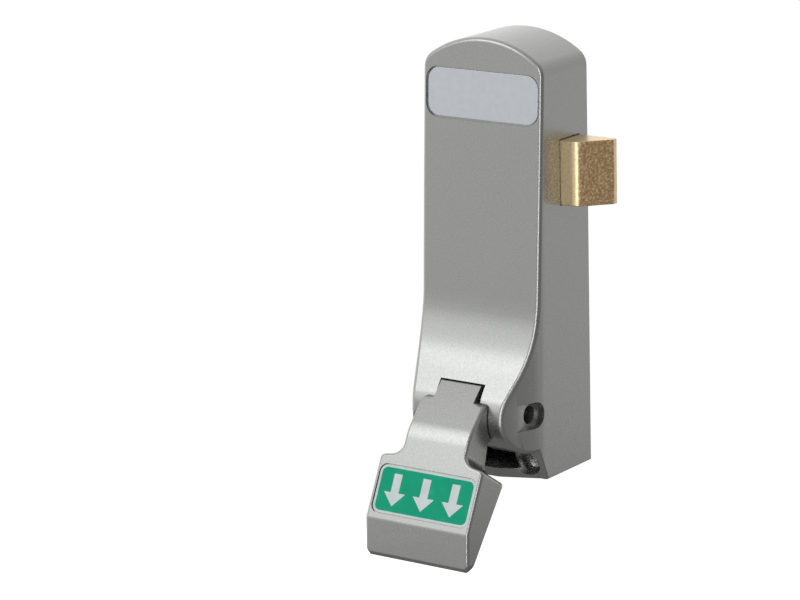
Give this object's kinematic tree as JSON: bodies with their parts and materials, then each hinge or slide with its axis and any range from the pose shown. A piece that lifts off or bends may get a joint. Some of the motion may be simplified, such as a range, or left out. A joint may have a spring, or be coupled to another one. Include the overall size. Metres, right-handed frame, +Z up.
{
  "type": "push pad emergency exit latch",
  "caption": "Rim-mounted emergency exit latch: arched silver case, hinged push pad with a green label, and a bevelled brass bolt that the pad draws in.",
  "frame": {"origin": "middle of the four door fixing holes, on the door's face", "axes": "+Y into the door, +Z up, +X along the pad's pivot, towards the bolt"},
  "size_m": [0.063, 0.072, 0.1723],
  "materials": {
    "silver_paint": "satin silver paint with a fine metallic grain on a zinc die casting",
    "satin_plate": "thin satin plate, bare",
    "zinc_steel": "zinc-plated pressed steel",
    "bright_steel": "bright plated screws",
    "ground_steel": "ground steel",
    "black_steel": "black phosphated spring steel",
    "spring_steel": "drawn spring wire",
    "cast_zinc": "bare zinc casting",
    "bronze": "sintered bronze",
    "brass": "sanded brass",
    "green_label": "printed green label",
    "black_rubber": "moulded rubber"
  },
  "bodies": {
    "case": {"housing": "silver_paint", "mounting_plate": "zinc_steel", "name_plate": "satin_plate", "cover_screws": "bright_steel", "cover_posts": "zinc_steel", "pivot_pin": "ground_steel", "pin_clips": "black_steel", "return_springs": "spring_steel", "slide_studs": "ground_steel", "anchor_post": "ground_steel", "slide_spring": "spring_steel", "bolt_case": "cast_zinc", "case_screws": "bright_steel", "bolt_springs": "spring_steel", "spring_rods": "ground_steel", "pad_buffer": "black_rubber"},
    "pad": {"push_pad": "silver_paint", "push_label": "green_label", "pad_bushes": "bronze", "lift_crank": "cast_zinc", "crank_dowel": "ground_steel"},
    "slide": {"lift_slide": "zinc_steel", "slide_post": "ground_steel"},
    "bolt": {"latch_bolt": "brass", "drive_pin": "ground_steel"}
  },
  "joints": [
    {"name": "pad_pivot", "type": "hinge", "parent": "case", "child": "pad", "pos_m": [0, -0.0335, -0.0545], "axis": [1, 0, 0], "range_deg": [0, 28], "stiffness_Nm_per_rad": 0.4, "springref_deg": -20.05, "deforming": ["return_springs"]},
    {"name": "slide_lift", "type": "slide", "parent": "case", "child": "slide", "axis": [0, 0, 1], "range_m": [0, 0.0117], "deforming": ["slide_spring"]},
    {"name": "bolt_draw", "type": "slide", "parent": "case", "child": "bolt", "axis": [-1, 0, 0], "range_m": [0, 0.0146], "deforming": ["bolt_springs"]}
  ],
  "couplings": [
    {"joint": "slide_lift", "follows": "pad_pivot", "m_per_rad": 0.023762},
    {"joint": "bolt_draw", "follows": "pad_pivot", "m_per_rad": 0.029671}
  ]
}
